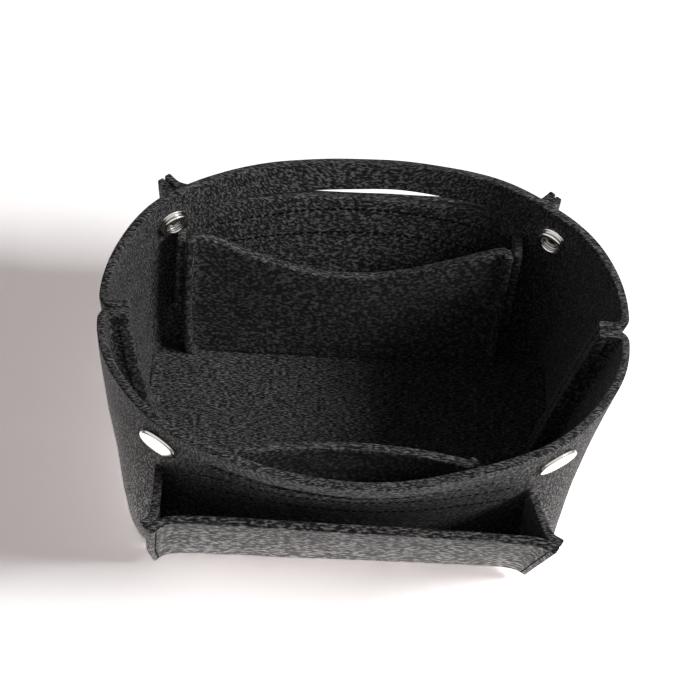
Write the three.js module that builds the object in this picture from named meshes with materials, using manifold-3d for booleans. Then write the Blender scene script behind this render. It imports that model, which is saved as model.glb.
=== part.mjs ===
// Felt purse organizer insert: an open felt tub with four pockets, four snap fasteners,
// two handle slits and two ends that fold inward.
// Millimetres, +Z up, front towards -Y, standing on z = 0.

import * as THREE from 'three';
import { mergeVertices } from 'three/addons/utils/BufferGeometryUtils.js';
import Module from 'manifold-3d';

// Driving dimensions of the felt
const felt = 3.5;
const sewnGap = 0.3;

// Driving dimensions of the flat base
const baseLength = 182;
const baseDepth = 106;
const baseCorner = 14;

// Driving dimensions of the walls
const wallHeight = 121;
const rimDip = 6;
const endFlare = 15;
const sideFlare = 21;
const seamRadius = 5.5;
const seamAllowance = 7;
const creaseFromMiddle = 30;
const endFold = THREE.MathUtils.degToRad(25);

// Driving dimensions of the handle slits
const slitLength = 120;
const slitHeight = 7.5;
const slitEndHeight = 2.4;
const slitBelowRim = 16;

// Driving dimensions of the outer pockets
const outerPocketHeight = 84;
const outerPocketTopWidth = 160;
const outerPocketBottomWidth = 148;
const outerPocketLean = 20.2;
const outerPocketLift = 8;
const outerPocketEar = 7;

// Driving dimensions of the inner pockets
const innerPocketBottomWidth = 133;
const innerPocketFromWall = 7;
const innerPocketEar = 2;
const backPocketHeight = 97;
const backPocketTopWidth = 128;
const backPocketLean = -1;
const backPocketShift = -5;
const backPocketDip = 24;
const dipNarrowing = 1.5;
const frontPocketHeight = 98;
const frontPocketTopWidth = 102;
const frontPocketLean = 9.5;
const frontPocketBow = 5;

// Heights at which the pocket gussets begin, tapered to nothing below
const outerGussetStart = 16;
const innerGussetStart = 40;

// Driving dimensions of the snap fasteners
const snapFromMiddle = 79.5;
const snapBelowRim = 17;
const snapSeat = 0.7;
const capDiameter = 17;
const capHeight = 2.4;
const capEdge = 0.5;
const postDiameter = 4;
const postReach = 1.6;
const seatDiameter = 13;
const seatPlate = 0.9;
const studDiameter = 7;
const studHeight = 3.8;
const studBulgeHeight = 2.85;
const socketHeight = 3.2;
const socketBore = 8.4;
const springWire = 0.8;

// Values worked out from the driving dimensions
const baseHalfLength = baseLength / 2;
const baseHalfDepth = baseDepth / 2;
const rimHalfLength = baseHalfLength + endFlare;
const rimHalfDepth = baseHalfDepth + sideFlare;
const floorTop = felt + sewnGap;
const innerPocketStand = baseHalfDepth - felt - innerPocketFromWall;
const postHole = postDiameter / 2 + sewnGap;
const drillLength = 6 * felt;
const earTurn = Math.PI / 4;

// Mesh fineness
const cornerSteps = 6;
const wallRows = 5;
const wallColumns = 44;
const wingColumns = 6;
const turnSteps = 4;
const slitSteps = 14;
const pocketColumns = 16;
const pocketRows = 4;
const turnedSides = 20;
const domeSteps = 4;
const springSteps = 24;
const wireSides = 6;

const wasm = await Module();
wasm.setup();

const feltMaterial = new THREE.MeshStandardMaterial({ color: 0x3c3c3f, roughness: 0.95, metalness: 0 });
const steelMaterial = new THREE.MeshStandardMaterial({ color: 0xd2d3d5, roughness: 0.22, metalness: 1 });
const wireMaterial = new THREE.MeshStandardMaterial({ color: 0xa9abad, roughness: 0.3, metalness: 1 });

const organizer = new THREE.Group();
organizer.name = 'felt_purse_organizer';

function addPiece(name, geometry, material) {
  const mesh = new THREE.Mesh(geometry, material);
  mesh.name = name;
  organizer.add(mesh);
}

function turnedToBack(geometry) {
  return geometry.clone().rotateZ(Math.PI);
}

// Cuts between closed bodies

function toManifold(geometry) {
  const bare = geometry.clone();
  bare.deleteAttribute('normal');
  bare.deleteAttribute('uv');
  const merged = mergeVertices(bare);
  const body = new wasm.Mesh({
    numProp: 3,
    vertProperties: new Float32Array(merged.getAttribute('position').array),
    triVerts: new Uint32Array(merged.index.array),
  });
  return new wasm.Manifold(body);
}

function fromManifold(manifold) {
  const body = manifold.getMesh();
  const geometry = new THREE.BufferGeometry();
  geometry.setAttribute('position', new THREE.BufferAttribute(new Float32Array(body.vertProperties), 3));
  geometry.setIndex(new THREE.BufferAttribute(new Uint32Array(body.triVerts), 1));
  return geometry;
}

function cutAway(geometry, cutters) {
  const left = cutters.reduce((rest, cutter) => rest.subtract(toManifold(cutter)), toManifold(geometry));
  return fromManifold(left);
}

// Felt sheets

// Moves a plan outline sideways, to the left of its direction
function offsetLeft(points, distance) {
  const sides = [];
  for (let i = 0; i < points.length - 1; i += 1) {
    const along = points[i + 1].clone().sub(points[i]).normalize();
    sides.push(new THREE.Vector2(-along.y, along.x));
  }
  return points.map((point, i) => {
    const before = sides[Math.max(i - 1, 0)];
    const after = sides[Math.min(i, sides.length - 1)];
    const middle = before.clone().add(after).normalize();
    return point.clone().addScaledVector(middle, distance / middle.dot(after));
  });
}

function raise(points, heights) {
  return points.map((point, i) => new THREE.Vector3(point.x, point.y, heights[i]));
}

// Rows of points of a face that runs straight from a low edge to a high edge
function ruledRows(face, rows) {
  return Array.from({ length: rows + 1 }, (_, row) => (
    face.low.map((low, column) => low.clone().lerp(face.high[column], row / rows))));
}

// A closed sheet between two faces, each given as rows of points from its low edge to its high edge
function feltSheet(near, far) {
  const rows = near.length - 1;
  const columns = near[0].length;
  const positions = [near, far].flat(2).flatMap((point) => point.toArray());
  const nearAt = (row, column) => row * columns + column;
  const farAt = (row, column) => (rows + 1) * columns + row * columns + column;
  const triangles = [];
  const quad = (a, b, c, d) => triangles.push(a, b, c, a, c, d);
  const last = columns - 1;
  for (let column = 0; column < last; column += 1) {
    const next = column + 1;
    for (let row = 0; row < rows; row += 1) {
      quad(nearAt(row, column), nearAt(row, next), nearAt(row + 1, next), nearAt(row + 1, column));
      quad(farAt(row, column), farAt(row + 1, column), farAt(row + 1, next), farAt(row, next));
    }
    quad(nearAt(0, column), farAt(0, column), farAt(0, next), nearAt(0, next));
    quad(nearAt(rows, column), nearAt(rows, next), farAt(rows, next), farAt(rows, column));
  }
  for (let row = 0; row < rows; row += 1) {
    quad(nearAt(row, 0), nearAt(row + 1, 0), farAt(row + 1, 0), farAt(row, 0));
    quad(nearAt(row, last), farAt(row, last), farAt(row + 1, last), nearAt(row + 1, last));
  }
  const geometry = new THREE.BufferGeometry();
  geometry.setAttribute('position', new THREE.Float32BufferAttribute(positions, 3));
  geometry.setIndex(triangles);
  return geometry;
}

// Base panel

function basePanel() {
  const halfLength = baseHalfLength - felt - sewnGap;
  const halfDepth = baseHalfDepth - felt - sewnGap;
  const corner = baseCorner - felt - sewnGap;
  const outline = new THREE.Shape();
  outline.moveTo(-halfLength + corner, -halfDepth);
  outline.lineTo(halfLength - corner, -halfDepth);
  outline.absarc(halfLength - corner, -halfDepth + corner, corner, -Math.PI / 2, 0, false);
  outline.lineTo(halfLength, halfDepth - corner);
  outline.absarc(halfLength - corner, halfDepth - corner, corner, 0, Math.PI / 2, false);
  outline.lineTo(-halfLength + corner, halfDepth);
  outline.absarc(-halfLength + corner, halfDepth - corner, corner, Math.PI / 2, Math.PI, false);
  outline.lineTo(-halfLength, -halfDepth + corner);
  outline.absarc(-halfLength + corner, -halfDepth + corner, corner, Math.PI, 1.5 * Math.PI, false);
  return new THREE.ExtrudeGeometry(outline, { depth: felt, bevelEnabled: false, curveSegments: cornerSteps });
}

addPiece('base_panel', basePanel(), feltMaterial);

// Walls: a rounded rectangle at the base, an oval at the rim that dips between the corners

function rimHeight(point) {
  const turn = Math.atan2(point.x / rimHalfLength, -point.y / rimHalfDepth);
  return wallHeight - rimDip * Math.cos(2 * turn) ** 2;
}

// Angle along the rim oval at which the front wall is a given way from the middle plane
function rimAngle(fromMiddle) {
  return Math.asin((fromMiddle - seamRadius) / (rimHalfDepth - seamRadius));
}

function rimArc(startAngle, endAngle, columns) {
  const depth = rimHalfDepth - seamRadius;
  const oval = new THREE.EllipseCurve(
    0, -seamRadius, rimHalfLength, depth, Math.PI + startAngle, Math.PI + endAngle, false);
  return oval.getSpacedPoints(columns);
}

// Slides the end of a wall's inner face so that its cut at the crease lies square to Y
function squareAtCrease(outer, inner, index, neighbour) {
  const along = outer[neighbour].clone().sub(outer[index]).normalize();
  const inward = -Math.sign(outer[index].x);
  inner[index].set(outer[index].x + inward * felt / Math.abs(along.y), outer[index].y);
}

// Both faces of the front wall's centre, from crease to crease
function wallCentre() {
  const crease = creaseFromMiddle + sewnGap;
  const cornerX = baseHalfLength - baseCorner;
  const cornerY = -baseHalfDepth + baseCorner;
  const path = new THREE.Path();
  path.moveTo(-baseHalfLength, -crease);
  path.lineTo(-baseHalfLength, cornerY);
  path.absarc(-cornerX, cornerY, baseCorner, Math.PI, 1.5 * Math.PI, false);
  path.lineTo(cornerX, -baseHalfDepth);
  path.absarc(cornerX, cornerY, baseCorner, 1.5 * Math.PI, 2 * Math.PI, false);
  path.lineTo(baseHalfLength, -crease);
  const base = path.getSpacedPoints(wallColumns);
  const rim = rimArc(rimAngle(crease), Math.PI - rimAngle(crease), wallColumns);
  const innerBase = offsetLeft(base, felt);
  const innerRim = offsetLeft(rim, felt);
  for (const [outer, inner] of [[base, innerBase], [rim, innerRim]]) {
    squareAtCrease(outer, inner, 0, 1);
    squareAtCrease(outer, inner, wallColumns, wallColumns - 1);
  }
  const floor = base.map(() => 0);
  const heights = rim.map(rimHeight);
  return {
    outer: { low: raise(base, floor), high: raise(rim, heights) },
    inner: { low: raise(innerBase, floor), high: raise(innerRim, heights) },
  };
}

const centre = wallCentre();

// Point of a wall face at a given height, on the ruling of one column
function onRuling(face, column, height) {
  const low = face.low[column];
  const high = face.high[column];
  return low.clone().lerp(high, (height - low.z) / (high.z - low.z));
}

// How far a face of the front wall stands from the middle plane
function wallStand(face, x, height) {
  for (let column = 0; column < wallColumns; column += 1) {
    const a = onRuling(face, column, height);
    const b = onRuling(face, column + 1, height);
    if (a.x <= x && b.x >= x && b.x > a.x) {
      return -THREE.MathUtils.lerp(a.y, b.y, (x - a.x) / (b.x - a.x));
    }
  }
  throw new Error('the wall does not reach x = ' + x);
}

// Height of the rim above a point of the front wall
function rimAbove(x) {
  return rimHeight(new THREE.Vector2(x, -wallStand(centre.outer, x, wallHeight - rimDip)));
}

// Long slit that follows the rim, open in the middle and closing towards its ends
function handleSlit() {
  const half = slitLength / 2;
  const upper = [];
  const lower = [];
  for (let step = 0; step <= slitSteps; step += 1) {
    const x = -half + slitLength * step / slitSteps;
    const open = THREE.MathUtils.lerp(slitHeight, slitEndHeight, (x / half) ** 2) / 2;
    const height = rimAbove(x) - slitBelowRim;
    upper.unshift(new THREE.Vector2(x, height + open));
    lower.push(new THREE.Vector2(x, height - open));
  }
  const outline = new THREE.Shape([...lower, ...upper]);
  const cutter = new THREE.ExtrudeGeometry(outline, { depth: rimHalfDepth, bevelEnabled: false });
  return cutter.rotateX(Math.PI / 2).translate(0, -baseHalfDepth / 2, 0);
}

// Frame of a front snap: its origin on the wall's outer face, its Z axis pointing out
function snapFrame(side) {
  const x = side * snapFromMiddle;
  const height = rimAbove(x) - snapBelowRim;
  const reach = capDiameter / 4;
  const at = (atX, atHeight) => new THREE.Vector3(atX, -wallStand(centre.outer, atX, atHeight), atHeight);
  const across = at(x + reach, height).sub(at(x - reach, height)).normalize();
  const up = at(x, height + reach).sub(at(x, height - reach));
  const outward = across.clone().cross(up).normalize();
  const frame = new THREE.Matrix4().makeBasis(across, outward.clone().cross(across), outward);
  return frame.setPosition(at(x, height));
}

const snapSides = { left: snapFrame(-1), right: snapFrame(1) };
const oppositeSide = { left: 'right', right: 'left' };

function snapHole(frame) {
  const hole = new THREE.CylinderGeometry(postHole, postHole, drillLength, turnedSides);
  return hole.rotateX(Math.PI / 2).applyMatrix4(frame);
}

const frontPanel = cutAway(
  feltSheet(ruledRows(centre.outer, wallRows), ruledRows(centre.inner, wallRows)),
  [handleSlit(), snapHole(snapSides.left), snapHole(snapSides.right)]);
addPiece('front_panel', frontPanel, feltMaterial);
addPiece('back_panel', turnedToBack(frontPanel), feltMaterial);

// Folding ends: each a front and a back wing, their edges turned in and sewn face to face

// Outer face of the turned seam, from the edge of the allowance round to the end wall
function seamTurn(endX) {
  const turnX = endX + seamRadius;
  const reach = seamRadius - sewnGap / 2;
  const points = [new THREE.Vector2(turnX + seamAllowance, -sewnGap / 2)];
  for (let step = 0; step < turnSteps; step += 1) {
    const angle = (1 - step / turnSteps) * Math.PI / 2;
    const x = turnX - seamRadius * Math.cos(angle);
    points.push(new THREE.Vector2(x, -seamRadius + reach * Math.sin(angle)));
  }
  return points;
}

// What stands inside the fold line is trimmed to clear the base as the end leans in
function foldClearance() {
  const foldLine = -(baseHalfLength - felt) + sewnGap / 4;
  const reach = seamRadius + 2 * seamAllowance;
  const outline = new THREE.Shape();
  outline.moveTo(foldLine, -felt);
  outline.lineTo(foldLine + reach, -felt);
  outline.lineTo(foldLine + reach, floorTop + reach * Math.tan(endFold));
  outline.lineTo(foldLine, floorTop);
  const cutter = new THREE.ExtrudeGeometry(outline, { depth: creaseFromMiddle, bevelEnabled: false });
  return cutter.rotateX(Math.PI / 2).translate(0, felt, 0);
}

function leftWing() {
  const straight = new THREE.LineCurve(
    new THREE.Vector2(-baseHalfLength, -seamRadius), new THREE.Vector2(-baseHalfLength, -creaseFromMiddle));
  const base = [...seamTurn(-baseHalfLength), ...straight.getSpacedPoints(wingColumns)];
  const rim = [...seamTurn(-rimHalfLength), ...rimArc(0, rimAngle(creaseFromMiddle), wingColumns)];
  const innerBase = offsetLeft(base, felt);
  const innerRim = offsetLeft(rim, felt);
  const last = base.length - 1;
  squareAtCrease(base, innerBase, last, last - 1);
  squareAtCrease(rim, innerRim, last, last - 1);
  const floor = base.map(() => 0);
  const heights = rim.map(rimHeight);
  const outer = { low: raise(base, floor), high: raise(rim, heights) };
  const inner = { low: raise(innerBase, floor), high: raise(innerRim, heights) };
  return cutAway(feltSheet(ruledRows(outer, wallRows), ruledRows(inner, wallRows)), [foldClearance()]);
}

// Mirrors a closed body left to right and turns its faces the right way out again
function mirrored(geometry) {
  const copy = geometry.clone().scale(-1, 1, 1);
  const index = copy.index.array;
  for (let i = 0; i < index.length; i += 3) {
    [index[i + 1], index[i + 2]] = [index[i + 2], index[i + 1]];
  }
  return copy;
}

const frontLeftWing = leftWing();
const frontRightWing = mirrored(frontLeftWing);
addPiece('front_left_wing', frontLeftWing, feltMaterial);
addPiece('front_right_wing', frontRightWing, feltMaterial);
addPiece('back_left_wing', turnedToBack(frontRightWing), feltMaterial);
addPiece('back_right_wing', turnedToBack(frontLeftWing), feltMaterial);

// Pockets: a panel with an ear turned out along each side, and a gusset from each ear to the wall

// Outer face of a pocket panel in plan, from the left ear's edge to the right ear's edge
function pocketFace(level, ear) {
  const out = ear * Math.sin(earTurn);
  const points = [new THREE.Vector2(level.middle - level.half - out, level.y - out)];
  for (let column = 0; column <= pocketColumns; column += 1) {
    const across = -1 + 2 * column / pocketColumns;
    const bowed = level.bow * (1 - across ** 2);
    points.push(new THREE.Vector2(level.middle + across * level.half, level.y - bowed));
  }
  points.push(new THREE.Vector2(level.middle + level.half + out, level.y - out));
  return points;
}

// The top edge may dip: the drop at its middle is given, and it runs out at the sides
function pocketPanel(bottom, top, ear, dip) {
  const low = pocketFace(bottom, ear);
  const high = pocketFace(top, ear);
  const lowHeights = low.map(() => bottom.z);
  const highHeights = high.map((point) => {
    const across = (point.x - top.middle) / top.half;
    return top.z - dip * Math.max(0, 1 - across ** 2) ** dipNarrowing;
  });
  const outer = { low: raise(low, lowHeights), high: raise(high, highHeights) };
  const innerLow = offsetLeft(low, felt);
  const innerHigh = offsetLeft(high, felt);
  const inner = { low: raise(innerLow, lowHeights), high: raise(innerHigh, highHeights) };
  return feltSheet(ruledRows(outer, pocketRows), ruledRows(inner, pocketRows));
}

// A gusset lies against its ear, turns and runs to the wall; its plan at one height
function gussetLevel(bottom, top, ear, side, wall, height) {
  const part = (height - bottom.z) / (top.z - bottom.z);
  const mix = (key) => THREE.MathUtils.lerp(bottom[key], top[key], part);
  const out = ear * Math.sin(earTurn);
  const layer = (felt + sewnGap) * Math.sin(earTurn);
  const thick = felt * Math.sin(earTurn);
  const cornerX = mix('middle') + side * (mix('half') + layer);
  const cornerY = mix('y') + layer;
  const earX = cornerX + side * out;
  const earY = cornerY - out;
  const backX = cornerX + side * felt;
  const point = (x, y) => new THREE.Vector3(x, y, height);
  return {
    inside: [point(earX, earY), point(cornerX, cornerY), point(cornerX, wall(cornerX, height))],
    outside: [
      point(earX + side * thick, earY + thick),
      point(backX, cornerY + felt * Math.tan(earTurn / 2)),
      point(backX, wall(backX, height)),
    ],
  };
}

function pocketGusset(bottom, top, ear, side, wall, start) {
  const levels = Array.from({ length: pocketRows + 1 }, (_, row) => (
    gussetLevel(bottom, top, ear, side, wall, THREE.MathUtils.lerp(start, top.z, row / pocketRows))));
  const inside = levels.map((level) => level.inside);
  const outside = levels.map((level) => level.outside);
  return side < 0 ? feltSheet(inside, outside) : feltSheet(outside, inside);
}

function pocketPieces(bottom, top, ear, dip, wall, start) {
  return {
    panel: pocketPanel(bottom, top, ear, dip),
    left_gusset: pocketGusset(bottom, top, ear, -1, wall, start),
    right_gusset: pocketGusset(bottom, top, ear, 1, wall, start),
  };
}

function addPocket(name, pieces) {
  addPiece(name + '_panel', pieces.panel, feltMaterial);
  addPiece(name + '_left_gusset', pieces.left_gusset, feltMaterial);
  addPiece(name + '_right_gusset', pieces.right_gusset, feltMaterial);
}

function addPocketTurned(name, pieces) {
  addPocket(name, {
    panel: turnedToBack(pieces.panel),
    left_gusset: turnedToBack(pieces.right_gusset),
    right_gusset: turnedToBack(pieces.left_gusset),
  });
}

// Outer pockets, sewn to the walls just above the base and leaning away from them

const outerPocketStand = wallStand(centre.outer, 0, outerPocketLift) + sewnGap + felt;
const outerBottom = {
  middle: 0,
  half: outerPocketBottomWidth / 2,
  y: -outerPocketStand,
  bow: 0,
  z: outerPocketLift,
};
const outerTop = {
  middle: 0,
  half: outerPocketTopWidth / 2,
  y: -(outerPocketStand + outerPocketLean),
  bow: 0,
  z: outerPocketHeight,
};
// The outer gussets meet the rounded corners at a slant, so they keep twice the sewn gap
const outsideWall = (x, height) => -(wallStand(centre.outer, x, height) + 2 * sewnGap);
const outerPocket = pocketPieces(outerBottom, outerTop, outerPocketEar, 0, outsideWall, outerGussetStart);
addPocket('front_outer_pocket', outerPocket);
addPocketTurned('back_outer_pocket', outerPocket);

// Inner pockets, standing on the base: the back one straight with a dipped top, the front one bowed

const insideWall = (x, height) => wallStand(centre.inner, x, height) - sewnGap;

function innerBottom(middle) {
  return { middle, half: innerPocketBottomWidth / 2, y: innerPocketStand, bow: 0, z: floorTop };
}

const backTop = {
  middle: backPocketShift,
  half: backPocketTopWidth / 2,
  y: innerPocketStand + backPocketLean,
  bow: 0,
  z: backPocketHeight,
};
const frontTop = {
  middle: 0,
  half: frontPocketTopWidth / 2,
  y: innerPocketStand + frontPocketLean,
  bow: frontPocketBow,
  z: frontPocketHeight,
};
const backPocket = pocketPieces(
  innerBottom(backPocketShift), backTop, innerPocketEar, backPocketDip, insideWall, innerGussetStart);
const frontPocket = pocketPieces(innerBottom(0), frontTop, innerPocketEar, 0, insideWall, innerGussetStart);
addPocket('back_inner_pocket', backPocket);
addPocketTurned('front_inner_pocket', frontPocket);

// Snap fasteners: a cap outside each corner, a stud inside in front and a sprung socket inside at the back

function turnedBody(profile) {
  const points = profile.map(([radius, height]) => new THREE.Vector2(radius, height));
  return new THREE.LatheGeometry(points, turnedSides);
}

const facingOut = (geometry) => geometry.rotateX(Math.PI / 2).translate(0, 0, sewnGap);
const facingIn = (geometry) => geometry.rotateX(-Math.PI / 2).translate(0, 0, -felt - snapSeat);

function snapCap() {
  const radius = capDiameter / 2;
  const post = postDiameter / 2;
  const postEnd = -(sewnGap + felt + snapSeat + postReach);
  const profile = [[0, postEnd], [post, postEnd], [post, 0], [radius - capEdge, 0]];
  for (let step = 0; step < domeSteps; step += 1) {
    const angle = step / domeSteps * Math.PI / 2;
    profile.push([radius * Math.cos(angle), capEdge + (capHeight - capEdge) * Math.sin(angle)]);
  }
  profile.push([0, capHeight]);
  return facingOut(turnedBody(profile));
}

function snapStud() {
  const seat = seatDiameter / 2;
  const knob = studDiameter / 2;
  const neck = knob - capEdge;
  return facingIn(turnedBody([
    [postHole, 0], [seat, 0], [seat, seatPlate / 2], [knob, seatPlate], [neck, studHeight / 2],
    [knob, studBulgeHeight], [neck, studHeight], [postHole, studHeight], [postHole, 0],
  ]));
}

const grooveLow = seatPlate + sewnGap;
const grooveHigh = grooveLow + springWire + 2 * sewnGap;

function snapSocket() {
  const seat = seatDiameter / 2;
  const bore = socketBore / 2;
  const groove = bore + springWire;
  return facingIn(turnedBody([
    [postHole, 0], [seat, 0], [seat, socketHeight - capEdge], [seat - capEdge, socketHeight],
    [bore + capEdge, socketHeight], [bore, grooveHigh], [groove, grooveHigh], [groove, grooveLow],
    [bore, grooveLow], [bore, seatPlate], [postHole, seatPlate], [postHole, 0],
  ]));
}

// Split spring ring that lies in the socket's groove
function snapSpring() {
  const wire = springWire / 2;
  const radius = socketBore / 2 + springWire - wire - sewnGap;
  const height = (grooveLow + grooveHigh) / 2;
  const opening = Math.PI / 6;
  const path = new THREE.CatmullRomCurve3(Array.from({ length: springSteps + 1 }, (_, step) => {
    const angle = opening + (2 * Math.PI - 2 * opening) * step / springSteps;
    return new THREE.Vector3(radius * Math.cos(angle), height, radius * Math.sin(angle));
  }));
  const section = new THREE.Shape().absarc(0, 0, wire, 0, 2 * Math.PI, false);
  return facingIn(new THREE.ExtrudeGeometry(section, {
    extrudePath: path, steps: springSteps, curveSegments: wireSides / 2, bevelEnabled: false,
  }));
}

for (const [side, frame] of Object.entries(snapSides)) {
  const cap = snapCap().applyMatrix4(frame);
  const behind = 'back_' + oppositeSide[side];
  addPiece('front_' + side + '_snap_cap', cap, steelMaterial);
  addPiece('front_' + side + '_snap_stud', snapStud().applyMatrix4(frame), steelMaterial);
  addPiece(behind + '_snap_cap', turnedToBack(cap), steelMaterial);
  addPiece(behind + '_snap_socket', turnedToBack(snapSocket().applyMatrix4(frame)), steelMaterial);
  addPiece(behind + '_snap_spring', turnedToBack(snapSpring().applyMatrix4(frame)), wireMaterial);
}

export default organizer;
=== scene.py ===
import math

import bpy
from mathutils import Matrix, Vector, noise


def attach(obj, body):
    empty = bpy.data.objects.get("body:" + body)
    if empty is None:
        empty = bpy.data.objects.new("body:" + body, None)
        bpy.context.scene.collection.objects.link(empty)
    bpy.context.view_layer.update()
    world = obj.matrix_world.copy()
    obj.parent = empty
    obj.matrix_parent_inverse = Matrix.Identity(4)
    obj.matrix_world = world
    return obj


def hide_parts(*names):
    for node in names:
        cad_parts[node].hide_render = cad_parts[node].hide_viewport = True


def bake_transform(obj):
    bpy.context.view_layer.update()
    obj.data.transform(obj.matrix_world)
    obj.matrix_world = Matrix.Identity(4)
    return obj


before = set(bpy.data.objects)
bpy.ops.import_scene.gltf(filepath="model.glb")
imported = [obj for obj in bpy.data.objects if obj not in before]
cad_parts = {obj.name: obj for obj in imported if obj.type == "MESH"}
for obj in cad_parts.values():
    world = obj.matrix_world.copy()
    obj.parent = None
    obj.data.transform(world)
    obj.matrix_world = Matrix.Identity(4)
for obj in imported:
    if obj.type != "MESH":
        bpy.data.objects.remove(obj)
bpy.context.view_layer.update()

# Base panel
# The real floor of the insert: one flat cut of needled felt with rounded corners.
# Its edge is sewn to the lower edge of the walls, and it lies on what the insert stands on.

MM = 0.001
FELT = 3.5
SEWN_GAP = 0.3
BASE_HALF_LENGTH = 91.0
BASE_HALF_DEPTH = 53.0
BASE_CORNER = 14.0
WALL_HEIGHT = 121.0
FLOOR_TOP = FELT + SEWN_GAP
CUT_ROUNDING = 0.7
SEWN_TUCK = 0.8
SHARPEST_MITER = 0.6
FELT_SMOOTHING = math.radians(50)
RIM_LEAN = 3.0
LEFT_SWELL = 5.6
SWELL_START = 60.0
SWELL_REACH = 45.0
# Three corners of the rim are squarer than its cut: where each is, and how far it stands out.
SQUARER_CORNERS = (((-85, 50), (-2.5, 1.2)), ((-80, -57), (0.0, -3.5)), ((80, -57), (0.0, -3.8)))
CORNER_SPREAD = 24.0
LUMP_SIZE = 21.0
LUMP_DEPTH = 0.35


def linear(hex_colour):
    channels = [int(hex_colour[i:i + 2], 16) / 255 for i in (1, 3, 5)]
    return tuple(c / 12.92 if c <= 0.04045 else ((c + 0.055) / 1.055) ** 2.4 for c in channels) + (1.0,)


def add_node(tree, kind, settings=None, inputs=None):
    """Adds a node; an input that is an output socket is linked, any other value is set on the socket."""
    node = tree.nodes.new(kind)
    for name, value in (settings or {}).items():
        setattr(node, name, value)
    for name, value in (inputs or {}).items():
        if isinstance(value, bpy.types.NodeSocket):
            tree.links.new(value, node.inputs[name])
        else:
            node.inputs[name].default_value = value
    return node


def new_material(name):
    material = bpy.data.materials.new(name)
    material.use_nodes = True
    tree = material.node_tree
    tree.nodes.clear()
    return material, tree


def charcoal_felt(name, clump_size):
    """Needle-punched polyester felt, charcoal melange: dark fibres with pale ones among them, lying all
    ways. It gives the eye short pale and dark streaks, a dull woolly surface and soft mottling."""
    material, tree = new_material(name)
    place = add_node(tree, "ShaderNodeTexCoord").outputs["Object"]
    # Real fibres are 0.03 mm thick; the streaks are drawn 0.45 mm wide and 2 mm long so that they show.
    streak_width = 0.00045
    streak_length = 0.002
    layers = []
    # Three layers of streaks lie across each other.
    for turn in ((0.0, 0.0, 0.3), (0.0, 0.25, 1.7), (0.2, 1.45, 0.0)):
        lying = add_node(tree, "ShaderNodeMapping", {}, {
            "Vector": place, "Rotation": turn,
            "Scale": (1 / streak_length, 1 / streak_width, 1 / streak_width)})
        fibres = add_node(tree, "ShaderNodeTexNoise", {}, {
            "Vector": lying.outputs["Vector"], "Scale": 1.0, "Detail": 2.0, "Roughness": 0.6})
        layers.append(fibres.outputs["Fac"])
    # Fibres of one shade hold together in clumps, whose size along each axis is given in millimetres. They
    # show three times as strongly as a layer of streaks.
    clump_weight = 3.0
    drawn_out = add_node(tree, "ShaderNodeMapping", {}, {
        "Vector": place, "Scale": [1 / (size * MM) for size in clump_size]})
    clumps = add_node(tree, "ShaderNodeTexNoise", {}, {
        "Vector": drawn_out.outputs["Vector"], "Scale": 1.0, "Detail": 1.0, "Roughness": 0.5})
    total = add_node(tree, "ShaderNodeMath", {"operation": "MULTIPLY"}, {
        0: clumps.outputs["Fac"], 1: clump_weight})
    for layer in layers:
        total = add_node(tree, "ShaderNodeMath", {"operation": "ADD"}, {0: total.outputs[0], 1: layer})
    melange = add_node(tree, "ShaderNodeMapRange", {}, {
        "Value": total.outputs[0], "From Min": 2.5, "From Max": 3.5})
    tone = add_node(tree, "ShaderNodeValToRGB", {}, {"Fac": melange.outputs["Result"]})
    ramp = tone.color_ramp
    ramp.elements[0].position = 0.08
    ramp.elements[0].color = linear("#222224")
    ramp.elements[1].position = 0.95
    ramp.elements[1].color = linear("#b0adab")
    ramp.elements.new(0.46).color = linear("#47474a")
    ramp.elements.new(0.66).color = linear("#6c6b6b")
    # The felt is mottled in patches of about 14 mm.
    patch_size = 0.014
    clouds = add_node(tree, "ShaderNodeTexNoise", {}, {
        "Vector": place, "Scale": 1 / patch_size, "Detail": 3.0, "Roughness": 0.55})
    mottle = add_node(tree, "ShaderNodeMapRange", {}, {
        "Value": clouds.outputs["Fac"], "From Min": 0.3, "From Max": 0.7, "To Min": 0.84, "To Max": 1.12})
    colour = add_node(tree, "ShaderNodeVectorMath", {"operation": "SCALE"}, {
        0: tone.outputs["Color"], "Scale": mottle.outputs["Result"]})
    bump = add_node(tree, "ShaderNodeBump", {}, {
        "Height": melange.outputs["Result"], "Strength": 0.2, "Distance": 0.0004})
    surface = add_node(tree, "ShaderNodeBsdfPrincipled", {}, {
        "Base Color": colour.outputs["Vector"], "Normal": bump.outputs["Normal"], "Roughness": 0.95,
        "Specular IOR Level": 0.15, "Sheen Weight": 0.12, "Sheen Roughness": 0.5})
    add_node(tree, "ShaderNodeOutputMaterial", {}, {"Surface": surface.outputs["BSDF"]})
    return material


felt_material = charcoal_felt("charcoal_needled_felt", (1.85, 0.31, 1.67))


def settled(point):
    """Where the soft tub really stands, as photographed: the higher a point, the more it leans to the
    right, the left end swells, and some corners of the rim are squarer than the oval that it is cut to."""
    part = point.z / WALL_HEIGHT
    lumps = noise.noise(point / LUMP_SIZE) * LUMP_DEPTH
    belly = math.sin(math.pi * math.sqrt(min(1.0, max(0.0, part))))
    swell = LEFT_SWELL * max(0.0, -point.x - SWELL_START) / SWELL_REACH * belly
    x = point.x + RIM_LEAN * part ** 2 + lumps - swell
    y = point.y + lumps
    for corner, push in SQUARER_CORNERS:
        away = (Vector(corner) - point.to_2d()).length
        share = part ** 2 * math.exp(-(away / CORNER_SPREAD) ** 2)
        x += push[0] * share
        y += push[1] * share
    return Vector((x, y, point.z))


def grid_quads(rows, columns):
    return [
        (r * columns + c, r * columns + c + 1, (r + 1) * columns + c + 1, (r + 1) * columns + c)
        for r in range(rows - 1) for c in range(columns - 1)]


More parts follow.
